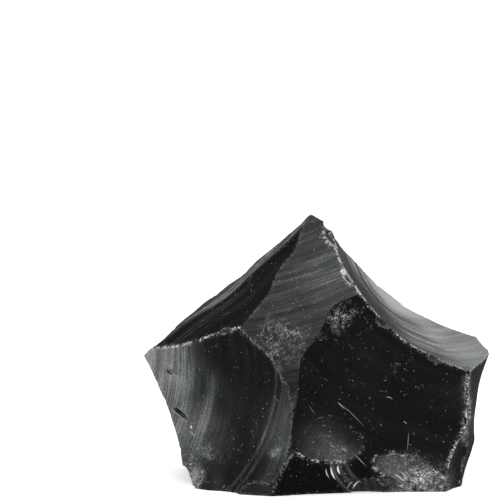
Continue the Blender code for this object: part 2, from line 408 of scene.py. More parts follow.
CHIPS = (
    # the shallow step above the dark underside, and the crushed notch beside it
    Chip("step", (5.2, -18.9, 10.0), 3.0, 27.0, -30.0, (8.2, 5.2, 2.2), 0.9, square=3.2,
         taper=0.2, haze=0.02),
    Chip("notch", (18.4, -17.4, 4.4), 12.0, 24.0, -12.0, (5.9, 3.9, 1.7), 1.0, square=2.6,
         taper=-0.2, rings=0.05, crush=0.14, haze=0.1),
    Chip("notch_side", (24.6, -16.7, 1.8), 16.0, 14.0, 8.0, (3.8, 2.2, 1.2), 0.5, rings=0.1,
         crush=0.5),
    Chip("foot_flake", (12.6, -17.9, 0.9), -8.0, -14.0, 14.0, (5.6, 3.4, 1.5), 0.75, haze=0.2),
    # the two small chips on the left face and the crushed heel below them
    Chip("crescent", (-30.0, -5.4, 15.0), -33.0, 16.0, -22.0, (3.3, 1.1, 0.8), 0.45),
    Chip("nick", (-32.0, -1.7, 23.2), -41.0, 9.0, -8.0, (2.2, 0.75, 0.6), 0.3),
    Chip("heel", (-26.8, -12.4, 1.6), -62.0, 6.0, 20.0, (4.4, 3.4, 1.6), 0.8, crush=0.4),
    # bites out of the right-hand edge
    Chip("edge_bite", (31.8, -15.0, 4.0), 58.0, -4.0, -24.0, (7.0, 12.0, 4.0), 2.6, rings=0.06,
         haze=0.05),
    Chip("edge_nibble", (33.4, -12.2, 16.8), 50.0, 4.0, -8.0, (1.6, 3.4, 1.1), 0.5),
    # bites along the crest between the dark face and the right slope
    Chip("crest_top", (3.6, -3.4, 52.4), 44.0, 40.0, 34.0, (1.5, 3.6, 1.0), 0.45),
    Chip("crest_high", (7.4, -8.6, 44.6), 42.0, 44.0, 30.0, (1.5, 3.2, 1.0), 0.4),
    Chip("crest_middle", (14.6, -10.9, 35.2), 36.0, 50.0, 40.0, (3.4, 1.7, 1.0), 0.45),
    Chip("crest_low", (26.0, -10.9, 27.3), 30.0, 52.0, 64.0, (1.6, 3.0, 1.0), 0.4),
    # bites along the left shoulder
    Chip("shoulder_low", (-27.4, -4.6, 31.4), -44.0, 30.0, -12.0, (3.6, 1.4, 1.0), 0.45),
    Chip("shoulder_high", (-19.6, -10.0, 33.9), -38.0, 26.0, -8.0, (3.0, 1.2, 1.0), 0.4),
    # larger flakes off the back and the left flank
    Chip("back_hollow", (-12.0, 23.0, 17.0), -174.0, 16.0, 25.0, (17.0, 11.0, 5.0), 2.0),
    Chip("back_shelf", (16.6, 22.4, 12.5), 184.0, 22.0, -30.0, (13.0, 8.0, 3.2), 1.3),
    Chip("back_ridge", (10.0, 19.6, 33.4), 158.0, 32.0, 20.0, (9.0, 5.5, 2.4), 1.2),
    Chip("left_flank", (-28.5, 8.0, 12.9), -112.0, -22.0, 15.0, (9.0, 6.0, 2.6), 1.1),
    # the flat knocked off the very top
    Chip("peak", (2.2, -1.0, 55.4), 72.0, 40.0, 10.0, (3.2, 1.5, 1.0), 0.45),
)


def only(thing: bpy.types.Object) -> None:
    """Makes this the only selected object, and the active one.

    Args:
        thing: the object.
    """
    for other in bpy.context.view_layer.objects:
        other.select_set(False)
    thing.select_set(True)
    bpy.context.view_layer.objects.active = thing


def read(items: bpy.types.bpy_prop_collection, key: str, width: int = 1,
         kind: type = float) -> np.ndarray:
    """Reads one value of all the vertices, edges, corners or faces of a mesh.

    Args:
        items: the mesh's vertices, edges, corners or faces.
        key: name of the value.
        width: how many numbers the value has.
        kind: type of the numbers.

    Returns:
        The values, as rows if they are wider than one number.
    """
    flat = np.empty(len(items) * width, dtype=kind)
    items.foreach_get(key, flat)
    return flat.reshape(-1, width) if width > 1 else flat


def points_of(thing: bpy.types.Object) -> np.ndarray:
    """Vertex places of a mesh object, as rows."""
    return read(thing.data.vertices, "co", 3)


def place_points(thing: bpy.types.Object, points: np.ndarray) -> None:
    """Moves a mesh object's vertices to these places."""
    thing.data.vertices.foreach_set("co", points.ravel())
    thing.data.update()


def to_row(points: np.ndarray) -> np.ndarray:
    """Millimetres of the stone's own drawing to metres of the finished part."""
    return (points + np.array(CENTRE_SHIFT)) * MM


def to_drawing(points: np.ndarray) -> np.ndarray:
    """Metres of the finished part to millimetres of the stone's own drawing."""
    return points / MM - np.array(CENTRE_SHIFT)


@dataclass
class Chunk:
    """The stone: a rough block and everything that is struck off it. Sizes are millimetres."""

    scars: tuple = SCARS
    chips: tuple = CHIPS
    lift: float = 75.0           # how far a cutter reaches out past its scar
    coarse_step: float = 5.0     # point spacing of a cutter away from the stone
    margin: float = 2.5          # fine points reach this far past a scar's own area
    on_scar: float = 0.3         # a point this near a scar lies on it
    inside: float = 0.06         # a point this far below every scar lies in a chip or on the base
    on_chip: float = 0.5         # a point this many half sizes off a chip may still lie in it
    base: float = 0.05           # a point below this height lies on the flat base
    chip_step: float = 0.45      # point spacing around a chip's cutter
    rim_wobble: float = 0.13     # how uneven a chip's oval is
    ring_gap: float = 1.5        # from one ripple in a chip to the next
    smooth_angle: float = 24.0   # faces that meet at less, in degrees, are shaded as one
    least_turn: float = 22.0     # edges that turn less, in degrees, aren't worn
    bite_batches: int = 6        # the most cutters that the fine bites are put in
    bites: "EdgeBites" = field(default_factory=lambda: EdgeBites())
    thing: bpy.types.Object = field(default=None, init=False)

    def build(self) -> bpy.types.Object:
        """Cuts the stone out of its block.

        Returns:
            The finished stone, with its place in its mesh.
        """
        self.thing = self.rough_block()
        solid = to_drawing(points_of(frame["nodes"][NODE]))
        for number, scar in enumerate(self.scars):
            self.cut(self.scar_cutter(scar, number, solid))
        for number, chip in enumerate(self.chips):
            self.cut(self.chip_cutter(chip, number))
        log.info("stone cut: %d faces", len(self.thing.data.polygons))
        arrises = Edges.of(self.thing, self, self.least_turn)
        bites = self.bites.find(arrises, self)
        for batch in cutters_of(bites, self.bite_batches):
            self.cut(batch)
        log.info("edges bitten: %d faces", len(self.thing.data.polygons))
        Skin(self, arrises, bites).mark(self.thing)
        only(self.thing)
        bpy.ops.object.shade_smooth_by_angle(angle=math.radians(self.smooth_angle))
        return self.thing

    def rough_block(self) -> bpy.types.Object:
        """Makes the block that everything is struck off.

        Returns:
            A block of exactly the finished stone's outer size.
        """
        low, high = np.array(SOLID_LOW), np.array(SOLID_HIGH)
        bpy.ops.mesh.primitive_cube_add(size=1.0)
        block = bpy.context.active_object
        block.name = "broken_obsidian"
        place_points(block, points_of(block) * (high - low) + (high + low) / 2.0)
        return block

    def grid_lines(self, low: float, high: float, half: float, step: float) -> np.ndarray:
        """Spaces a cutter's grid lines: close together over the scar, wide elsewhere.

        Args:
            low: where the scar starts.
            high: where it ends.
            half: half the cutter's size.
            step: spacing of the close lines.

        Returns:
            The places of the lines.
        """
        low, high = max(low - self.margin, -half), min(high + self.margin, half)
        fine = np.linspace(low, high, max(2, round((high - low) / step)) + 1)
        parts = [fine]
        if low > -half:
            count = max(1, round((low + half) / self.coarse_step))
            parts.insert(0, np.linspace(-half, low, count + 1)[:-1])
        if high < half:
            count = max(1, round((half - high) / self.coarse_step))
            parts.append(np.linspace(high, half, count + 1)[1:])
        return np.concatenate(parts)

    def scar_cutter(self, scar: Scar, number: int, solid: np.ndarray) -> bpy.types.Object:
        """A closed block whose inner face is the scar.

        Args:
            scar: the scar to cut.
            number: its place in the list.
            solid: points of the stone's plain solid, which show how far the scar reaches.

        Returns:
            The cutter.
        """
        place = scar.local(solid)
        level = scar.height(number, place[:, 0], place[:, 1])
        on_it = place[np.abs(place[:, 2] - level) < self.on_scar]
        low, high = on_it.min(axis=0), on_it.max(axis=0)
        columns, rows = (self.grid_lines(low[way], high[way], scar.half_size[way], scar.step)
                         for way in (0, 1))
        bpy.ops.mesh.primitive_grid_add(x_subdivisions=len(columns) - 1,
                                        y_subdivisions=len(rows) - 1, size=2.0)
        cutter = bpy.context.active_object
        cutter.name = "cutter_" + scar.name
        flat = points_of(cutter)
        across = columns[np.rint((flat[:, 0] + 1.0) / 2.0 * (len(columns) - 1)).astype(int)]
        up = rows[np.rint((flat[:, 1] + 1.0) / 2.0 * (len(rows) - 1)).astype(int)]
        local = np.stack((across, up, scar.height(number, across, up)), axis=1)
        place_points(cutter, to_row(local @ scar.axes + np.array(scar.spot)))
        self.close_cutter(cutter, scar)
        return cutter

    def close_cutter(self, cutter: bpy.types.Object, scar: Scar) -> None:
        """Draws the open rim outwards to one level and closes it with a lid.

        Args:
            cutter: the open sheet.
            scar: the scar that it is the face of.
        """
        inner = len(cutter.data.vertices)
        only(cutter)
        bpy.ops.object.mode_set(mode="EDIT")
        bpy.ops.mesh.select_mode(type="EDGE")
        bpy.ops.mesh.select_all(action="SELECT")
        bpy.ops.mesh.region_to_loop()
        bpy.ops.mesh.extrude_edges_move()
        bpy.ops.object.mode_set(mode="OBJECT")
        points = points_of(cutter)
        local = scar.local(to_drawing(points[inner:]))
        local[:, 2] = self.lift
        points[inner:] = to_row(local @ scar.axes + np.array(scar.spot))
        place_points(cutter, points)
        bpy.ops.object.mode_set(mode="EDIT")
        bpy.ops.mesh.edge_face_add()
        bpy.ops.mesh.select_all(action="SELECT")
        bpy.ops.mesh.normals_make_consistent(inside=False)
        bpy.ops.object.mode_set(mode="OBJECT")

    def chip_cutter(self, chip: Chip, number: int) -> bpy.types.Object:
        """A flattened uneven oval whose lowest point lies `sink` below the spot.

        Args:
            chip: the chip to cut.
            number: its place in the list, which sets how its rim wobbles.

        Returns:
            The cutter.
        """
        around = max(16, round(2.0 * math.pi * max(chip.half_size) / self.chip_step))
        bpy.ops.mesh.primitive_uv_sphere_add(segments=around, ring_count=max(8, around // 3),
                                             radius=1.0)
        cutter = bpy.context.active_object
        cutter.name = "cutter_" + chip.name
        points = points_of(cutter)
        angle = np.arctan2(points[:, 1], points[:, 0])
        boxy = (np.abs(np.cos(angle)) ** chip.square
                + np.abs(np.sin(angle)) ** chip.square) ** (-1.0 / chip.square)
        # the rim's lobes: how many, what shifts them from chip to chip, and how far they stand out
        uneven = 1.0
        for lobes, phase, rise in ((2.0, 2.1, self.rim_wobble), (3.0, 1.3, 0.6 * self.rim_wobble),
                                   (7.0, 1.0, 0.5 * chip.ragged), (12.0, 3.0, 0.5 * chip.ragged)):
            uneven = uneven + rise * np.sin(lobes * angle + phase * number)
        points[:, :2] *= (boxy * uneven)[:, None]
        points[:, 1] *= 1.0 - chip.taper * points[:, 0]
        points = points * np.array(chip.half_size)
        away = np.hypot(points[:, 0] - 0.8 * chip.half_size[0], points[:, 1])
        points[:, 2] += chip.rings * np.sin(2.0 * math.pi * away / self.ring_gap) * np.cos(away)
        points[:, 2] += chip.half_size[2] - chip.sink
        axes = face_axes(chip.heading, chip.tilt, chip.roll)
        place_points(cutter, to_row(points @ axes + np.array(chip.spot)))
        return cutter

    def cut(self, cutter: bpy.types.Object) -> None:
        """Takes the cutter's space out of the stone and throws the cutter away.

        Args:
            cutter: a closed mesh.
        """
        step = self.thing.modifiers.new(cutter.name, "BOOLEAN")
        step.operation = "DIFFERENCE"
        step.solver = "MANIFOLD"
        step.object = cutter
        only(self.thing)
        bpy.ops.object.modifier_apply(modifier=step.name)
        bpy.data.objects.remove(cutter, do_unlink=True)

    def scar_numbers(self, points: np.ndarray) -> np.ndarray:
        """Which scar each point lies on.

        Args:
            points: places in the finished part, in metres.

        Returns:
            The scar's place in the list, or -1 on the base and inside chips.
        """
        drawn = to_drawing(points)
        depth = np.empty((len(self.scars), len(points)))
        for number, scar in enumerate(self.scars):
            place = scar.local(drawn)
            depth[number] = place[:, 2] - scar.height(number, place[:, 0], place[:, 1])
        nearest = depth.argmax(axis=0)
        return np.where(depth.max(axis=0) > -self.inside, nearest, -1)

    def cut_numbers(self, points: np.ndarray) -> np.ndarray:
        """Which scar or chip each point lies on.

        Args:
            points: places in the finished part, in metres.

        Returns:
            Its number as names() counts them, or -1 on the base.
        """
        owner = self.scar_numbers(points)
        loose = np.flatnonzero(owner < 0)
        drawn = to_drawing(points[loose])
        closest = np.full(len(loose), self.on_chip)
        for number, chip in enumerate(self.chips):
            away = np.abs(np.linalg.norm(chip.local(drawn), axis=1) - 1.0)
            here = (away < closest) & (drawn[:, 2] > self.base)
            closest[here] = away[here]
            owner[loose[here]] = len(self.scars) + number
        return owner

    def names(self) -> list:
        """Names of the scars and then of the chips."""
        return [cut.name for cut in self.scars + self.chips]


@dataclass(frozen=True)
class Wear:
    """How knocked about the edge between two scars is.

    gap is the distance between bites, size scales them, pale is how white the edge is and reach
    how far that runs from it.
    """

    gap: float
    size: float
    pale: float
    reach: float = 0.3


ORDINARY_WEAR = Wear(2.4, 0.8, 0.3)
WEAR = {
    ("brow", "right_slope"): Wear(0.14, 1.5, 1.0, 0.45),
    ("crest_top", "right_slope"): Wear(0.12, 0.9, 1.0, 0.5),
    ("crest_high", "right_slope"): Wear(0.12, 0.9, 1.0, 0.5),
    ("brow", "crest_top"): Wear(0.2, 0.8, 1.0, 0.4),
    ("brow", "crest_high"): Wear(0.2, 0.8, 1.0, 0.4),
    ("dark_scoop", "right_slope"): Wear(0.25, 0.55, 0.7, 0.3),
    ("left_scoop", "left_shell"): Wear(0.22, 0.75, 0.9, 0.35),
    ("brow", "left_scoop"): Wear(9.0, 0.4, 0.12),
    ("brow", "left_shell"): Wear(6.0, 0.35, 0.2),
    ("brow", "dark_scoop"): Wear(20.0, 0.4, 0.0),
    ("left_shell", "dark_scoop"): Wear(4.0, 0.5, 0.25),
    ("dark_scoop", "undercut"): Wear(0.5, 0.5, 0.9, 0.35),
    ("step", "undercut"): Wear(0.3, 0.5, 0.9, 0.4),
    ("step", "dark_scoop"): Wear(9.0, 0.3, 0.2),
    ("step", "left_shell"): Wear(3.0, 0.4, 0.4),
    ("left_shell", "undercut"): Wear(2.0, 0.5, 0.3),
    ("notch", "dark_scoop"): Wear(0.6, 0.6, 0.8, 0.4),
    ("notch", "undercut"): Wear(0.5, 0.6, 0.8, 0.5),
    ("notch", "notch_side"): Wear(0.5, 0.8, 1.0, 0.7),
    ("notch_side", "dark_scoop"): Wear(0.6, 0.7, 0.8, 0.5),
    ("left_shell", "crescent"): Wear(9.0, 0.3, 0.5, 0.25),
    ("left_shell", "nick"): Wear(9.0, 0.3, 0.5, 0.25),
    ("dark_scoop", "right_edge"): Wear(0.2, 0.9, 0.8, 0.9),
    ("dark_scoop", "edge_bite"): Wear(0.25, 0.8, 1.0, 0.5),
    ("dark_scoop", "edge_nibble"): Wear(0.25, 0.8, 0.9, 0.6),
    ("right_edge", "edge_nibble"): Wear(0.3, 0.8, 0.9, 0.6),
    ("right_edge", "edge_bite"): Wear(0.4, 1.0, 0.6, 0.5),
    ("right_edge", "right_slope"): Wear(1.6, 0.8, 0.5),
}


def wear_of(first: str, second: str) -> Wear:
    """The wear of the edge between two scars, in either order."""
    return WEAR.get((first, second)) or WEAR.get((second, first), ORDINARY_WEAR)


@dataclass
class Edges:
    """The sharp edges of a mesh, with the scars or chips that meet in them."""

    middles: np.ndarray           # metres
    spans: np.ndarray             # from one end to the other, metres
    normals: np.ndarray           # of the two faces
    owners: np.ndarray            # numbers of the two scars or chips, or -1

    @classmethod
    def of(cls, stone: bpy.types.Object, chunk: Chunk, least_turn: float) -> "Edges":
        """Finds the edges.

        Args:
            stone: the mesh object.
            chunk: says which scar or chip a point lies on.
            least_turn: edges that turn less than this many degrees are left out.

        Returns:
            The edges.
        """
        mesh = stone.data
        owner = chunk.cut_numbers(read(mesh.polygons, "center", 3))
        normals = read(mesh.polygons, "normal", 3)
        sizes = read(mesh.polygons, "loop_total", kind=int)
        order = np.argsort(read(mesh.loops, "edge_index", kind=int), kind="stable")
        faces = np.repeat(np.arange(len(sizes)), sizes)[order].reshape(-1, 2)
        ends = read(mesh.edges, "vertices", 2, int)
        cosine = (normals[faces[:, 0]] * normals[faces[:, 1]]).sum(axis=1)
        turn = np.degrees(np.arccos(np.clip(cosine, -1.0, 1.0)))
        kept = np.flatnonzero((turn > least_turn) & (owner[faces[:, 0]] != owner[faces[:, 1]]))
        places = points_of(stone)[ends[kept]]
        return cls(places.mean(axis=1), places[:, 1] - places[:, 0], normals[faces[kept]],
                   owner[faces[kept]])


BITE_WALL = 1.03        # in half sizes: a point this far from a bite's middle is on its wall
BITE_SPACING = 1.15     # in half lengths: bites in one cutter lie at least this far apart


@dataclass(frozen=True)
class Bite:
    """A small oval hollow: place, axes as rows, half sizes and depth, in metres.

    pale is how white its wall is.
    """

    middle: np.ndarray
    axes: np.ndarray
    size: np.ndarray
    sink: float
    pale: float

    def holds(self, points: np.ndarray) -> np.ndarray:
        """Finds the points that lie in the hollow or on its wall.

        Args:
            points: places in the finished part, in metres.

        Returns:
            Whether each of them does.
        """
        place = (points - self.middle) @ self.axes.T
        place[:, 2] -= self.size[2] - self.sink
        return np.linalg.norm(place / self.size, axis=1) < BITE_WALL

    def cutter(self) -> bpy.types.Object:
        """Makes the oval that cuts the hollow.

        Returns:
            The oval, whose poles are its two ends.
        """
        bpy.ops.mesh.primitive_uv_sphere_add(segments=8, ring_count=6, radius=1.0)
        oval = bpy.context.active_object
        points = points_of(oval)[:, (2, 0, 1)] * self.size
        points[:, 2] += self.size[2] - self.sink
        place_points(oval, points @ self.axes + self.middle)
        return oval


def cutters_of(bites: list, most: int) -> list:
    """Puts bites that don't touch each other together in cutters.

    Args:
        bites: all the bites.
        most: how many cutters there may be.

    Returns:
        The cutters.
    """
    batches = [[] for _ in range(most)]
    for bite in bites:
        for batch in batches:
            if all(np.linalg.norm(bite.middle - taken.middle)
                   > BITE_SPACING * (bite.size[0] + taken.size[0]) for taken in batch):
                batch.append(bite)
                break
    cutters = []
    for batch in filter(None, batches):
        made = [bite.cutter() for bite in batch]
        only(made[0])
        for oval in made:
            oval.select_set(True)
        bpy.ops.object.join()
        cutters.append(bpy.context.active_object)
    return cutters


@dataclass
class EdgeBites:
    """Fine bites along the sharp edges, where thin glass has crumbled away.

    Each of the pairs is the least and the most.
    """

    length: tuple = (0.13, 0.95)      # half length of a bite along its edge
    shortness: float = 1.3            # above 1, short bites are commoner than long ones
    turned: tuple = (0.12, 0.88)      # from facing the one scar to facing the other
    breadth: tuple = (0.45, 0.9)      # to its length
    depth: tuple = (0.35, 0.6)        # to its length
    sunk: tuple = (0.45, 0.95)        # to its depth
    seed: int = 11

    def find(self, edges: Edges, chunk: Chunk) -> list:
        """Chooses the bites.

        Args:
            edges: the sharp edges of the stone with its scars and chips cut.
            chunk: names the scars.

        Returns:
            The bites, in a random order.
        """
        chance = np.random.default_rng(self.seed)
        bites, names = [], chunk.names()
        for index in chance.permutation(len(edges.owners)):
            one, other = edges.owners[index]
            if one < 0 or other < 0:
                continue
            wear = wear_of(names[one], names[other])
            span = np.linalg.norm(edges.spans[index]) / MM
            if chance.random() < span / wear.gap:
                bites.append(self.bite(chance, edges, index, wear))
        return bites

    def bite(self, chance: np.random.Generator, edges: Edges, index: int, wear: Wear) -> Bite:
        """Makes one bite on an edge, turned towards one face or the other.

        Args:
            chance: draws its size and turn.
            edges: the sharp edges.
            index: which of them it lies on.
            wear: how worn that edge is.

        Returns:
            The bite.
        """
        share = chance.uniform(*self.turned)
        outward = edges.normals[index, 0] * share + edges.normals[index, 1] * (1.0 - share)
        outward /= np.linalg.norm(outward)
        along = edges.spans[index] - outward * edges.spans[index].dot(outward)
        along /= np.linalg.norm(along)
        low, high = self.length
        length = MM * wear.size * low * (high / low) ** (chance.random() ** self.shortness)
        size = length * np.array((1.0, chance.uniform(*self.breadth),
                                  chance.uniform(*self.depth)))
        axes = np.array((along, np.cross(outward, along), outward))
        sink = size[2] * chance.uniform(*self.sunk)
        return Bite(edges.middles[index], axes, size, sink, wear.pale * chance.random())


@dataclass(frozen=True)
class MarkOrGlint:
    """A hairline scratch, or a painted highlight on the lip of a ripple, from start to end, too
    shallow to cut.

    It is drawn straight onto the stone's front, and tapers to its ends. bow is how far its
    middle stands off a straight line, and pale how white it is.
    """

    start: tuple
    end: tuple
    width: float = 0.1
    bow: float = 0.0
    pale: float = 0.4

    def near(self, drawn: np.ndarray) -> np.ndarray:
        """Finds the mark's own neighbourhood, which keeps it off the back of the stone.

        Args:
            drawn: places in the stone's own drawing.

        Returns:
            How far within it each place is, from 0 to 1.
        """
        start, run = np.array(self.start), np.subtract(self.end, self.start)
        share = np.clip((drawn - start) @ run / run.dot(run), 0.0, 1.0)
        away = np.linalg.norm(drawn - start - share[:, None] * run, axis=1)
        return np.clip(3.0 - away / MARK_REACH, 0.0, 1.0)

    def draw(self, add: Callable, flat: object) -> object:
        """Adds the mark to a finish.

        Only values are linked to values and places to places: the finish has room for few others.

        Args:
            add: adds a node to the finish.
            flat: Object coordinates with their depth taken out.

        Returns:
            How pale the mark makes each place.
        """
        start = to_row(np.array(self.start)) * FRONT
        run = to_row(np.array(self.end)) * FRONT - start
        side = np.cross(run, (0.0, 1.0, 0.0)) / np.linalg.norm(run)
        place = add("VectorMath", {"operation": "SUBTRACT", 0: flat, 1: tuple(start)})
        share = add("VectorMath", {"operation": "DOT_PRODUCT", 0: place,
                                   1: tuple(run / run.dot(run))}, "Value")
        share = add("Clamp", {"Value": share})
        rest = add("Math", {"operation": "SUBTRACT", 0: 1.0, 1: share})
        belly = add("Math", {"operation": "MULTIPLY", 0: share, 1: rest})
        bowed = add("VectorMath", {"operation": "SCALE", "Scale": belly,
                                   0: tuple(side * 4.0 * self.bow * MM)})
        along = add("VectorMath", {"operation": "SCALE", "Scale": share, 0: tuple(run)})
        line = add("VectorMath", {"operation": "ADD", 0: along, 1: bowed})
        away = add("VectorMath", {"operation": "DISTANCE", 0: place, 1: line}, "Value")
        half = add("Math", {"operation": "MULTIPLY", 0: belly, 1: 4.0 * self.width * MM})
        inside = add("Math", {"operation": "SUBTRACT", 0: half, 1: away})
        return add("MapRange", {"Value": inside, "From Max": MARK_EDGE * MM, "To Max": self.pale})


FRONT = np.array((1.0, 0.0, 1.0))     # takes the depth out of a place
MARK_REACH = 0.7                      # size of a mark's neighbourhood, in millimetres
MARK_EDGE = 0.06                      # how soft a mark's edge is, in millimetres
MARKS_AND_GLINTS = (
    # scratches on the dark face
    MarkOrGlint((5.0, -16.5, 19.5), (10.9, -16.9, 13.6), 0.07, bow=0.2, pale=0.3),
    MarkOrGlint((4.6, -16.4, 19.6), (6.4, -16.5, 17.9), 0.12, pale=0.35),
    MarkOrGlint((-1.6, -18.3, 19.4), (0.1, -18.4, 16.8), 0.07, pale=0.2),
    MarkOrGlint((20.1, -14.7, 13.1), (19.7, -16.1, 8.6), 0.08, pale=0.3),
    MarkOrGlint((14.9, -14.7, 20.2), (16.6, -14.3, 19.6), 0.12, bow=0.3, pale=0.3),
    MarkOrGlint((18.8, -14.6, 15.1), (19.7, -14.6, 14.4), 0.1, pale=0.4),
    # painted highlights on the lips of the ripples in the undercut
    MarkOrGlint((2.3, -20.0, 5.9), (3.1, -19.3, 3.4), 0.14, bow=-0.3, pale=0.6),
    MarkOrGlint((3.3, -19.9, 6.3), (4.4, -19.0, 3.0), 0.22, bow=-0.3, pale=0.8),
    MarkOrGlint((4.8, -19.7, 6.4), (5.4, -19.0, 4.2), 0.24, bow=-0.25, pale=0.85),
    MarkOrGlint((9.6, -18.4, 2.8), (8.0, -18.3, 0.7), 0.18, bow=-0.3, pale=0.65),
    MarkOrGlint((8.3, -18.6, 2.8), (6.8, -18.4, 0.7), 0.12, bow=-0.3, pale=0.4),
    # scuffs on the step, and its lip
    MarkOrGlint((8.1, -18.9, 8.9), (11.1, -18.5, 5.7), 0.09, pale=0.4),
    MarkOrGlint((2.9, -19.3, 10.5), (4.4, -19.2, 9.8), 0.1, pale=0.3),
    MarkOrGlint((5.2, -19.2, 9.6), (6.8, -19.1, 8.9), 0.12, bow=0.2, pale=0.35),
    # torn arcs in the notch
    MarkOrGlint((14.9, -17.4, 7.6), (18.0, -16.9, 8.0), 0.12, bow=0.3, pale=0.4),
    MarkOrGlint((16.7, -17.6, 4.0), (19.3, -17.2, 2.0), 0.16, bow=0.2, pale=0.5),
    MarkOrGlint((18.0, -17.5, 4.5), (19.9, -17.1, 2.4), 0.14, bow=0.2, pale=0.5),
    # knocks low on the left shell
    MarkOrGlint((-23.8, -11.5, 8.6), (-23.2, -13.0, 5.8), 0.08, pale=0.25),
    MarkOrGlint((-27.3, -8.3, 11.4), (-26.2, -9.5, 10.3), 0.14, pale=0.3),
    MarkOrGlint((-27.3, -7.6, 12.6), (-26.9, -8.0, 11.8), 0.2, pale=0.6),
    # lips of the two small chips above them
    MarkOrGlint((-32.6, -2.9, 15.7), (-27.7, -7.2, 12.8), 0.1, bow=0.15, pale=0.4),
    MarkOrGlint((-31.4, -3.2, 16.6), (-27.3, -7.3, 13.6), 0.08, bow=0.25, pale=0.25),
    MarkOrGlint((-32.8, -0.6, 23.8), (-29.8, -3.4, 21.9), 0.09, pale=0.4),
    MarkOrGlint((-33.0, -0.4, 23.0), (-29.9, -3.4, 21.8), 0.07, pale=0.25),
    # rings in the flake off the lower right-hand edge
    MarkOrGlint((32.6, -13.2, 9.4), (29.8, -15.2, 1.6), 0.1, bow=0.9, pale=0.35),
    MarkOrGlint((31.6, -14.2, 8.8), (28.6, -16.0, 1.6), 0.08, bow=0.9, pale=0.3),
)


@dataclass(frozen=True)
class Smudge:
    """A soft round place on the stone where something lies or shows."""

    spot: tuple
    reach: float
    amount: float
    on: str = ""                  # the only scar or chip that it lies on


DUST = (
    Smudge((3.4, -12.4, 37.0), 4.4, 1.1, "dark_scoop"),       # under the crest
    Smudge((0.4, -13.6, 33.4), 3.4, 0.7, "dark_scoop"),
    Smudge((-7.5, -14.5, 32.0), 7.0, 0.9, "brow"),            # its foot
    Smudge((-13.0, -13.0, 34.0), 3.4, 0.5, "brow"),
    Smudge((-6.0, -15.6, 26.5), 4.5, 0.5, "brow"),            # and the strip below it
    Smudge((-1.0, -2.6, 56.4), 2.2, 0.6),                     # the very top
    Smudge((-14.0, -13.0, 20.6), 5.0, 0.35, "left_shell"),
    Smudge((-23.6, -12.4, 7.6), 3.6, 0.8),
    Smudge((-26.0, -10.5, 11.0), 3.0, 0.4),
    Smudge((-26.0, -12.0, 3.4), 4.5, 0.75),                   # the heel
    Smudge((17.0, -13.6, 23.0), 6.0, 0.3),
    Smudge((3.0, -19.0, 11.0), 4.0, 0.45),
    Smudge((29.0, -15.0, 3.0), 4.0, 0.35),                    # lower right-hand edge
    Smudge((-8.8, -19.4, 9.4), 1.6, 0.8),
    Smudge((-12.0, -3.5, 45.0), 6.0, 0.3),
)
# even dust film, and in its first smudge a painted reflection
VEIL = (
    Smudge((-33.0, -0.5, 22.0), 8.0, 0.6, "left_shell"),      # its bright left strip: a painted reflection, laid as film
    Smudge((-28.0, -7.5, 11.0), 8.0, 0.52, "left_shell"),
    Smudge((-22.6, -8.6, 20.0), 4.5, 0.12, "left_shell"),
    Smudge((-7.0, -19.0, 13.0), 5.5, 0.22, "left_shell"),     # beside the middle edge
    Smudge((0.5, -19.4, 10.0), 6.5, 0.2, "step"),
    Smudge((-0.5, -19.0, 12.0), 3.6, 0.14, "dark_scoop"),
    Smudge((6.0, -8.0, 44.0), 7.0, 0.1, "brow"),
    Smudge((33.0, 2.0, 29.0), 9.0, 0.2, "right_slope"),       # the flap at its foot
    Smudge((17.0, -17.2, 6.0), 5.0, 0.3, "notch"),
)
CRUSH = (
    Smudge((22.5, -16.9, 3.0), 2.6, 1.0),                     # the knocked corner of the notch
    Smudge((19.5, -17.4, 0.6), 2.4, 0.9),
    Smudge((20.5, -16.8, 6.8), 1.4, 0.8),
    Smudge((26.0, -16.5, 1.4), 3.0, 0.7),
    Smudge((-8.6, -19.6, 9.0), 1.0, 0.5),
    Smudge((5.0, -19.2, 9.2), 2.2, 0.2),
    Smudge((33.2, -10.9, 22.0), 1.4, 0.35),                   # the right-hand edge
    Smudge((33.2, -10.9, 18.5), 1.4, 0.35),
    Smudge((33.2, -10.9, 15.0), 1.5, 0.45),
    Smudge((32.6, -12.4, 11.6), 1.4, 0.7),
)
STAIN = (Smudge((5.4, -5.2, 49.8), 0.7, 1.0),)


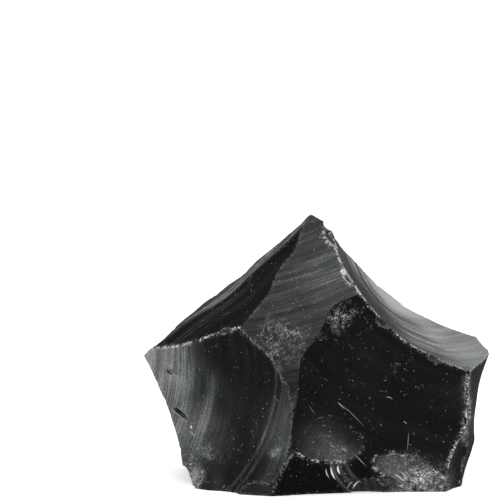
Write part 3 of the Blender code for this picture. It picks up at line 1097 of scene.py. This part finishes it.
@dataclass
class Skin:
    """What the glass shows from place to place, kept on the mesh for the finish to read."""

    chunk: Chunk
    arrises: Edges                # the sharp edges before they were bitten
    bites: list
    crush_reach: float = 1.15     # in half sizes: a crushed chip whitens the glass this far out
    crush_core: float = 0.9       # and fully as far as this
    crush_stretch: tuple = (1.0, 1.0, 0.5)    # measures less of it along the chip's depth
    bite_search: float = 1.2      # in half lengths: a bite's wall lies no farther out
    plain_haze: float = 0.15      # on the base
    scar_shift: tuple = (37.0, 53.0)          # keeps each scar's streaks unlike the others'
    chip_shift: float = 11.0

    def mark(self, stone: bpy.types.Object) -> None:
        """Writes the flow map and every value that the finish reads.

        Args:
            stone: the finished mesh object.
        """
        mesh, points = stone.data, points_of(stone)
        sizes = read(mesh.polygons, "loop_total", kind=int)
        centres = read(mesh.polygons, "center", 3)
        owner = self.chunk.cut_numbers(centres).repeat(sizes)
        vertex = read(mesh.loops, "vertex_index", kind=int)
        drawn = to_drawing(points)[vertex]
        flow, haze = self.flow_haze_and_sheen(drawn, owner)
        sheet = mesh.uv_layers.new(name="flow", do_init=False)
        sheet.uv.foreach_set("vector", (flow / FLOW_UNIT).astype(np.float32).ravel())
        crush = np.maximum(self.smudged(drawn, owner, CRUSH), self.crushed_chips(drawn))
        found = {Layer.HAZE: haze,
                 Layer.VEIL: self.smudged(drawn, owner, VEIL),
                 Layer.DUST: self.smudged(drawn, owner, DUST),
                 Layer.CRUSH: crush,
                 Layer.STAIN: self.smudged(drawn, owner, STAIN),
                 Layer.RIM: self.rims(points)[vertex],
                 Layer.BITE: self.bitten(centres).repeat(sizes),
                 Layer.SCORED: np.max([mark.near(drawn) for mark in MARKS_AND_GLINTS], axis=0)}
        for layer, values in found.items():
            kept = mesh.attributes.new(layer.value, "FLOAT", "CORNER")
            kept.data.foreach_set("value", values.astype(np.float32))

    def flow_haze_and_sheen(self, drawn: np.ndarray, owner: np.ndarray) -> tuple:
        """Follows the streaks over every scar and chip.

        Args:
            drawn: places in the stone's own drawing.
            owner: number of the scar or chip that each lies on.

        Returns:
            The flow map, along and across the streaks, and how thick the film of dust and painted
            sheen is at each place.
        """
        flow, haze = drawn[:, (0, 2)].copy(), np.full(len(drawn), self.plain_haze)
        for number, scar in enumerate(self.chunk.scars):
            here = owner == number
            haze[here] = scar.dust_film_and_sheen(drawn[here])
            flow[here] = scar.flow(drawn[here]) + number * np.array(self.scar_shift)
        for number, chip in enumerate(self.chunk.chips):
            here = owner == len(self.chunk.scars) + number
            place = chip.local(drawn[here])[:, :2] * chip.half_size[:2]
            haze[here] = chip.haze
            side = place[:, 0] - 1.5 * chip.half_size[0]
            rings = np.stack((place[:, 1], np.hypot(side, place[:, 1])), axis=1)
            flow[here] = rings + self.chip_shift * number
        return flow, np.maximum(haze, 0.0)

    def bitten(self, centres: np.ndarray) -> np.ndarray:
        """Whitens the walls of the bites.

        Args:
            centres: middles of the faces, in metres.

        Returns:
            How pale each face is.
        """
        amount = np.zeros(len(centres))
        for bite in self.bites:
            near = np.flatnonzero(np.linalg.norm(centres - bite.middle, axis=1)
                                  < self.bite_search * bite.size[0])
            amount[near[bite.holds(centres[near])]] = bite.pale
        return amount

    def smudged(self, drawn: np.ndarray, owner: np.ndarray, smudges: tuple) -> np.ndarray:
        """Lays smudges over the stone.

        Args:
            drawn: places in the stone's own drawing.
            owner: number of the scar or chip that each lies on.
            smudges: the smudges.

        Returns:
            The strongest of them at each place.
        """
        names = self.chunk.names()
        amount = np.zeros(len(drawn))
        for smudge in smudges:
            away = np.linalg.norm(drawn - np.array(smudge.spot), axis=1) / smudge.reach
            here = smudge.amount * np.exp(-away * away)
            if smudge.on:
                here[owner != names.index(smudge.on)] = 0.0
            amount = np.maximum(amount, here)
        return amount

    def crushed_chips(self, drawn: np.ndarray) -> np.ndarray:
        """Crushes the glass in and just around the chips that were knocked in hard.

        Args:
            drawn: places in the stone's own drawing.

        Returns:
            How crushed each place is.
        """
        amount = np.zeros(len(drawn))
        for chip in self.chunk.chips:
            if chip.crush:
                away = np.linalg.norm(chip.local(drawn) * self.crush_stretch, axis=1)
                near = (self.crush_reach - away) / (self.crush_reach - self.crush_core)
                amount = np.maximum(amount, chip.crush * np.clip(near, 0.0, 1.0))
        return amount

    def rims(self, points: np.ndarray) -> np.ndarray:
        """Whitens the worn edges, less and less away from each.

        Args:
            points: the vertices, in metres.

        Returns:
            How pale each vertex is.
        """
        edges = self.arrises
        names = self.chunk.names() + [""]
        tree = KDTree(len(edges.owners))
        for index, middle in enumerate(edges.middles):
            tree.insert(Vector(middle), index)
        tree.balance()
        wear = [wear_of(names[one], names[other]) for one, other in edges.owners]
        amount = np.zeros(len(points))
        for number, place in enumerate(points):
            _, index, away = tree.find(Vector(place))
            amount[number] = wear[index].pale * math.exp(-(away / MM / wear[index].reach) ** 2)
        return amount


def add_node(tree: bpy.types.NodeTree, kind: str, settings: dict, out: int | str = 0) -> object:
    """Adds a node with its settings and links.

    Args:
        tree: the node tree.
        kind: the node's type, without the ShaderNode that all of them start with.
        settings: by the node's own setting name, or by a socket's name or number. A socket given
            as a value is linked, and any other value is set.
        out: name or number of the output that is wanted.

    Returns:
        That output.
    """
    node = tree.nodes.new("ShaderNode" + kind)
    for name, value in settings.items():
        if isinstance(name, str) and name not in node.inputs:
            setattr(node, name, value)
        elif isinstance(value, bpy.types.NodeSocket):
            tree.links.new(value, node.inputs[name])
        else:
            node.inputs[name].default_value = value
    return node.outputs[out] if len(node.outputs) else node


@dataclass(frozen=True)
class BrokenObsidian:
    """Natural volcanic glass, freshly broken.

    It is near-black and hardly lets light in. A clean break shines like bottle glass; the fine
    ridges of the break and a film of glass dust turn parts of it to a soft grey, knocked edges
    are pale with crushed glass, and bright dust lies about in specks and short hairs. The grey
    film also paints a few reflections, a bright strip and a darker band, and painted highlights
    lie along the crests and lips of some ripples.
    """

    body: str = "060607"
    cool_film: str = "7c8285"        # the dust film over the deeper glass
    plain_film: str = "818280"
    # also the colour of the painted ripple highlights
    crushed: str = "dfe0dc"
    stained: str = "7d6a58"
    ior: float = 1.49
    shine: float = 0.12              # roughness of the clean break
    film_shine: float = 0.45         # roughness under a full dust film
    # millimetres from here on
    band: float = 2.0                # width of the broad streaks
    band_length: float = 30.0
    line: float = 0.36               # width of the fine streaks
    line_length: float = 15.0
    tint_patch: float = 11.0         # where the film is cooler
    film_patch: float = 6.0          # where it is thicker
    film_grit: float = 0.4
    crush_clump: float = 1.3
    crush_grit: float = 0.7
    dust_clump: float = 4.0
    dust_drift: float = 1.4          # dust within a clump
    dust_fleck: float = 0.2
    hair_curl: float = 1.6
    hair_patch: float = 1.9          # where there are any hairs
    ridge_height: float = 0.08       # of the fine ridges
    # of each kind of speck: the spacing, the size to it, and how rare they are
    speck_kinds: tuple = ((1.6, 0.09, 1.28), (0.7, 0.13, 1.2), (0.4, 0.2, 1.1))

    def make(self) -> bpy.types.Material:
        """Builds the finish.

        Returns:
            The material.
        """
        finish = bpy.data.materials.new("broken_volcanic_glass")
        finish.use_nodes = True
        finish.node_tree.nodes.clear()
        add = partial(add_node, finish.node_tree)
        flow = add("UVMap", {"uv_map": "flow"}, "UV")
        place = add("TexCoord", {}, "Object")
        kept = {layer: add("Attribute", {"attribute_name": layer.value}, "Fac") for layer in Layer}
        bands, lines = self.streaks(add, flow)
        film = self.film(add, bands, lines, kept, place)
        white = self.pale(add, kept, place)
        # the painted ripple highlights join the crushed white here
        for more in (self.specks(add, kept[Layer.DUST], place), self.hairs(add, place),
                     self.marks_and_glints(add, kept[Layer.SCORED], place)):
            white = add("Math", {"operation": "MAXIMUM", 0: white, 1: more})
        clouds = add("TexNoise", {"Vector": place, "Scale": 1.0 / (self.tint_patch * MM),
                                  "Detail": 1.0}, "Fac")
        clouds = add("MapRange", {"Value": clouds, "From Min": 0.4, "From Max": 0.6})
        tint = add("Mix", {"data_type": "RGBA", 0: clouds, 6: linear(self.cool_film),
                           7: linear(self.plain_film)}, 2)
        # the grey film colour lays the dust, the painted reflections and the painted ridge
        # highlights over the black body
        colour = add("Mix", {"data_type": "RGBA", 0: film, 6: linear(self.body), 7: tint}, 2)
        for share, other in ((white, self.crushed), (kept[Layer.STAIN], self.stained)):
            colour = add("Mix", {"data_type": "RGBA", 0: share, 6: colour, 7: linear(other)}, 2)
        rough = add("MapRange", {"Value": film, "From Max": 0.8, "To Min": self.shine,
                                 "To Max": self.film_shine})
        crumbly = add("Math", {"operation": "MULTIPLY", 0: white, 1: 0.7})
        rough = add("Math", {"operation": "MAXIMUM", 0: rough, 1: crumbly})
        normal = self.relief(add, bands, lines, kept, place)
        surface = add("BsdfPrincipled", {"Base Color": colour, "Roughness": rough,
                                         "IOR": self.ior, "Normal": normal})
        add("OutputMaterial", {"Surface": surface})
        return finish

    def streaks(self, add: Callable, flow: object) -> list:
        """Draws noise out along the flow map.

        Args:
            add: adds a node to the finish.
            flow: the flow map.

        Returns:
            Broad streaks and fine ones.
        """
        found = []
        for width, length, detail in ((self.band, self.band_length, 2.0),
                                      (self.line, self.line_length, 3.0)):
            stretch = (FLOW_UNIT / length, FLOW_UNIT / width, 1.0)
            drawn_out = add("Mapping", {"Vector": flow, "Scale": stretch})
            found.append(add("TexNoise", {"noise_dimensions": "2D", "Scale": 1.0,
                                          "Vector": drawn_out, "Detail": detail,
                                          "Roughness": 0.55}, "Fac"))
        return found

    def film(self, add: Callable, bands: object, lines: object, kept: dict,
             place: object) -> object:
        """Lays the film of glass dust and painted sheen, in streaks from the haze layer and even
        from the even-film layer.

        Args:
            add: adds a node to the finish.
            bands: the broad streaks.
            lines: the fine streaks.
            kept: the values that the mesh keeps, by Layer.
            place: Object coordinates.

        Returns:
            How thick it is.
        """
        clouds = add("TexNoise", {"Vector": place, "Scale": 1.0 / (self.film_patch * MM),
                                  "Detail": 3.0}, "Fac")
        streaky = kept[Layer.HAZE]
        for value, low, high, least, most in ((bands, 0.36, 0.62, 0.36, 1.08),
                                              (lines, 0.36, 0.66, 0.42, 1.22)):
            share = add("MapRange", {"Value": value, "From Min": low, "From Max": high,
                                     "To Min": least, "To Max": most})
            streaky = add("Math", {"operation": "MULTIPLY", 0: streaky, 1: share})
        even = add("MapRange", {"Value": lines, "From Min": 0.3, "From Max": 0.7, "To Min": 0.5,
                                "To Max": 0.75})
        even = add("Math", {"operation": "MULTIPLY", 0: even, 1: kept[Layer.VEIL]})
        both = add("Math", {"operation": "ADD", 0: streaky, 1: even})
        patchy = add("MapRange", {"Value": clouds, "From Min": 0.35, "From Max": 0.65,
                                  "To Min": 0.65, "To Max": 1.1})
        both = add("Math", {"operation": "MULTIPLY", 0: both, 1: patchy})
        grit = add("TexNoise", {"Vector": place, "Scale": 1.0 / (self.film_grit * MM),
                                "Detail": 2.0, "Roughness": 0.7}, "Fac")
        grit = add("MapRange", {"Value": grit, "From Min": 0.3, "From Max": 0.7, "To Min": 0.6,
                                "To Max": 1.4})
        return add("Math", {"operation": "MULTIPLY", 0: both, 1: grit})

    def pale(self, add: Callable, kept: dict, place: object) -> object:
        """Crushes the glass to white along edges, in bites and in patches, each in its own grit.

        Args:
            add: adds a node to the finish.
            kept: the values that the mesh keeps, by Layer.
            place: Object coordinates.

        Returns:
            How white each place is.
        """
        clumps = add("TexNoise", {"Vector": place, "Scale": 1.0 / (self.crush_clump * MM),
                                  "Detail": 4.0, "Roughness": 0.65}, "Fac")
        clumps = add("MapRange", {"Value": clumps, "From Min": 0.4, "From Max": 0.6,
                                  "To Min": 0.2, "To Max": 1.1})
        crush = add("Math", {"operation": "MULTIPLY", 0: kept[Layer.CRUSH], 1: clumps})
        found = None
        for value, size, low, least, most in ((kept[Layer.RIM], 0.3, 0.5, 0.0, 0.85),
                                              (crush, 0.28, 0.25, 0.1, 1.0),
                                              (kept[Layer.BITE], 0.3, 0.2, 0.15, 1.0)):
            bits = add("TexVoronoi", {"Vector": place, "Scale": 1.0 / (size * MM)}, "Color")
            share = add("MapRange", {"From Min": low, "To Min": least, "To Max": most,
                                     "Value": add("SeparateColor", {0: bits})})
            share = add("Math", {"operation": "MULTIPLY", 0: share, 1: value})
            if found is not None:
                share = add("Math", {"operation": "MAXIMUM", 0: found, 1: share})
            found = share
        return found

    def specks(self, add: Callable, dust: object, place: object) -> object:
        """Scatters bright dust: specks of three sizes, and fine flecks where it lies thick.

        Args:
            add: adds a node to the finish.
            dust: where dust gathers.
            place: Object coordinates.

        Returns:
            How bright the dust is.
        """
        clumps = add("TexNoise", {"Vector": place, "Scale": 1.0 / (self.dust_clump * MM),
                                  "Detail": 3.0}, "Fac")
        more = add("Math", {"operation": "MULTIPLY_ADD", 0: dust, 1: 0.25, 2: clumps})
        drifts = add("TexNoise", {"Vector": place, "Scale": 1.0 / (self.dust_drift * MM),
                                  "Detail": 4.0, "Roughness": 0.7}, "Fac")
        grains = add("TexVoronoi", {"Vector": place, "Scale": 1.0 / (self.dust_fleck * MM)},
                     "Color")
        grains = add("MapRange", {"From Min": 0.4, "From Max": 1.0, "To Max": 0.8,
                                  "Value": add("SeparateColor", {0: grains})})
        thick = add("Math", {"operation": "MULTIPLY_ADD", 0: clumps, 1: 1.8, 2: dust})
        thick = add("MapRange", {"Value": thick, "From Min": 1.25, "From Max": 2.2,
                                 "To Max": 1.2})
        drifts = add("MapRange", {"Value": drifts, "From Min": 0.42, "From Max": 0.66})
        thick = add("Math", {"operation": "MULTIPLY", 0: thick, 1: drifts})
        found = add("Math", {"operation": "MULTIPLY", 0: grains, 1: thick})
        for gap, reach, rare in self.speck_kinds:
            cells = {"Vector": place, "Scale": 1.0 / (gap * MM)}
            away = add("TexVoronoi", cells, "Distance")
            chance = add("TexVoronoi", cells, "Color")
            luck = add("SeparateColor", {0: chance}, 0)
            lucky = add("Math", {"operation": "ADD", 0: luck, 1: more})
            size = add("MapRange", {"Value": lucky, "From Min": rare, "From Max": rare + 0.35,
                                    "To Max": reach})
            inside = add("Math", {"operation": "SUBTRACT", 0: size, 1: away})
            speck = add("MapRange", {"Value": inside, "From Max": 0.05})
            other_luck = add("SeparateColor", {0: chance}, 1)
            bright = add("Math", {"operation": "POWER", 0: other_luck, 1: 4.0})
            speck = add("Math", {"operation": "MULTIPLY", 0: speck, 1: bright})
            found = add("Math", {"operation": "MAXIMUM", 0: found, 1: speck})
        return found

    def marks_and_glints(self, add: Callable, scored: object, place: object) -> object:
        """Draws the hairline scratches and the painted ripple highlights, each only around its own
        place.

        Args:
            add: adds a node to the finish.
            scored: how near a scratch or a painted ripple highlight each place of the mesh is.
            place: Object coordinates.

        Returns:
            How pale they make each place.
        """
        flat = add("VectorMath", {"operation": "MULTIPLY", 0: place, 1: tuple(FRONT)})
        found = 0.0
        for mark in MARKS_AND_GLINTS:
            found = add("Math", {"operation": "MAXIMUM", 0: found, 1: mark.draw(add, flat)})
        return add("Math", {"operation": "MULTIPLY", 0: found, 1: scored})

    def hairs(self, add: Callable, place: object) -> object:
        """Draws short curled scratches: thin level lines of a noise, in scattered places.

        Args:
            add: adds a node to the finish.
            place: Object coordinates.

        Returns:
            How pale they make each place.
        """
        wander = add("TexNoise", {"Vector": place, "Scale": 1.0 / (self.hair_curl * MM),
                                  "Detail": 1.0}, "Fac")
        away = add("Math", {"operation": "SUBTRACT", 0: wander, 1: 0.5})
        away = add("Math", {"operation": "ABSOLUTE", 0: away})
        line = add("MapRange", {"Value": away, "From Min": 0.005, "From Max": 0.017,
                                "To Min": 1.0, "To Max": 0.0})
        kept = add("TexNoise", {"Vector": place, "Scale": 1.0 / (self.hair_patch * MM),
                                "Detail": 2.0}, "Fac")
        kept = add("MapRange", {"Value": kept, "From Min": 0.64, "From Max": 0.72,
                                "To Max": 0.14})
        return add("Math", {"operation": "MULTIPLY", 0: line, 1: kept})

    def relief(self, add: Callable, bands: object, lines: object, kept: dict,
               place: object) -> object:
        """Roughens the glass with the fine ridges of the break and the grit of crushed glass.

        Args:
            add: adds a node to the finish.
            bands: the broad streaks.
            lines: the fine streaks.
            kept: the values that the mesh keeps, by Layer.
            place: Object coordinates.

        Returns:
            The bumped normal.
        """
        ridges = add("Math", {"operation": "MULTIPLY_ADD", 0: bands, 1: 0.7, 2: lines})
        rise = add("Math", {"operation": "MULTIPLY_ADD", 0: kept[Layer.HAZE], 1: 0.6, 2: 0.02})
        ridges = add("Math", {"operation": "MULTIPLY", 0: ridges, 1: rise})
        broken = add("TexVoronoi", {"Vector": place, "Scale": 1.0 / (self.crush_grit * MM)},
                     "Distance")
        broken = add("Math", {"operation": "MULTIPLY", 0: broken, 1: kept[Layer.CRUSH]})
        height = add("Math", {"operation": "MULTIPLY_ADD", 0: broken, 1: 2.5, 2: ridges})
        return add("Bump", {"Height": height, "Distance": self.ridge_height * MM, "Strength": 1.0})


@dataclass(frozen=True)
class Glow:
    """One soft bright region of the studio: where it is, how wide, strong and sharp-edged."""

    heading: float
    tilt: float
    half_width: float
    strength: float
    edge: float = 5.0


@dataclass
class Studio:
    """Plain pale floor, plain soft light, and the camera."""

    glows: tuple = (Glow(-4.0, 58.0, 26.0, 0.78), Glow(158.0, 50.0, 26.0, 1.6, 8.0),
                    Glow(130.0, 25.0, 18.0, 3.8, 8.0), Glow(-112.0, -8.0, 16.0, 2.5))
    ground_level: float = 0.115
    view_tilt: float = 10.0           # the camera looks down by this much at the stone
    view_distance: float = 650.0
    picture_scale: float = 0.22       # millimetres of the stone to one picture point
    picture_size: tuple = (490.0, 500.0)
    look_at: tuple = (0.0, -2.47, 26.5)
    seen_at: tuple = (316.0, 356.0)   # where look_at lies in the picture
    sensor: float = 36.0              # millimetres
    near_limit: float = 0.01          # metres
    floor_size: float = 12.0          # metres
    floor_lift: float = 0.2           # light that the floor gives of its own, to stay white
    overhead_strength: float = 3.3
    overhead_spread: float = 150.0    # degrees across
    overhead_lean: tuple = (12.0, -10.0)      # degrees

    def build(self) -> None:
        """Adds the floor, the light and the camera."""
        self.floor()
        self.sky()
        self.overhead()
        self.camera()
        bpy.context.scene.view_settings.view_transform = "Standard"

    def floor(self) -> None:
        """Lays a wide matt white floor."""
        bpy.ops.mesh.primitive_plane_add(size=self.floor_size, location=(0.0, 0.0, 0.0))
        floor = bpy.context.active_object
        floor.name = "floor"
        paint = bpy.data.materials.new("matt_white_floor_paint")
        paint.use_nodes = True
        surface = paint.node_tree.nodes["Principled BSDF"]
        for name, value in (("Base Color", linear("fbfbfb")), ("Roughness", 1.0),
                            ("Specular IOR Level", 0.0), ("Emission Color", linear("ffffff")),
                            ("Emission Strength", self.floor_lift)):
            surface.inputs[name].default_value = value
        floor.data.materials.append(paint)
        floor.visible_glossy = False

    def sky(self) -> None:
        """Sets soft glows around the stone, with the dark gaps that a black glass needs."""
        world = bpy.data.worlds.new("soft_studio")
        world.use_nodes = True
        bpy.context.scene.world = world
        world.node_tree.nodes.clear()
        add = partial(add_node, world.node_tree)
        ray = add("TexCoord", {}, "Generated")
        total = self.ground_level
        for glow in self.glows:
            value = add("VectorMath", {"operation": "DOT_PRODUCT", 0: ray,
                                       1: tuple(facing(glow.heading, glow.tilt))}, "Value")
            for how, settings in (("ARCCOSINE", {}), ("DIVIDE", {1: math.radians(glow.half_width)}),
                                  ("POWER", {1: glow.edge}), ("ADD", {1: 1.0})):
                value = add("Math", {"operation": how, 0: value, **settings})
            light = add("Math", {"operation": "DIVIDE", 0: glow.strength, 1: value})
            total = add("Math", {"operation": "ADD", 0: total, 1: light})
        camera_ray = add("LightPath", {}, "Is Camera Ray")
        shown = add("Mix", {0: camera_ray, 2: total, 3: 1.0})
        back = add("Background", {"Strength": shown})
        add("OutputWorld", {"Surface": back})

    def overhead(self) -> None:
        """Adds a very wide soft light that whitens the floor and isn't mirrored."""
        bpy.ops.object.light_add(type="SUN", location=(0.0, 0.0, 1.0))
        light = bpy.context.active_object
        light.name = "overhead"
        light.data.energy = self.overhead_strength
        light.data.angle = math.radians(self.overhead_spread)
        light.visible_glossy = False
        forward, sideways = self.overhead_lean
        light.rotation_euler = (math.radians(forward), math.radians(sideways), 0.0)

    def camera(self) -> None:
        """Adds a long lens, turned a little so that the stone stands low and to the right."""
        tilt = math.radians(self.view_tilt)
        target = np.array(self.look_at)
        back = np.array((0.0, -math.cos(tilt), math.sin(tilt)))
        upward = np.array((0.0, math.sin(tilt), math.cos(tilt)))
        place = target + self.view_distance * back
        aim = (target
               + np.array((1.0, 0.0, 0.0)) * (self.picture_size[0] / 2.0 - self.seen_at[0])
               * self.picture_scale
               + upward * (self.seen_at[1] - self.picture_size[1] / 2.0) * self.picture_scale)
        reach = np.linalg.norm(aim - place)
        bpy.ops.object.camera_add(location=tuple(place * MM))
        camera = bpy.context.active_object
        camera.name = "camera"
        camera.rotation_euler = Vector(aim - place).to_track_quat("-Z", "Y").to_euler()
        camera.data.sensor_width = self.sensor
        camera.data.lens = self.sensor * reach / (self.picture_scale * max(self.picture_size))
        camera.data.clip_start = self.near_limit
        bpy.context.scene.camera = camera


def main() -> None:
    """Builds the stone and the studio."""
    logging.basicConfig(level=logging.INFO, format="%(name)s: %(message)s")
    stone = Chunk().build()
    stone.data.materials.clear()
    stone.data.materials.append(BrokenObsidian().make())
    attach(stone, "root")
    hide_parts(NODE)
    Studio().build()
    log.info("studio ready")


if __name__ == "__main__":
    main()
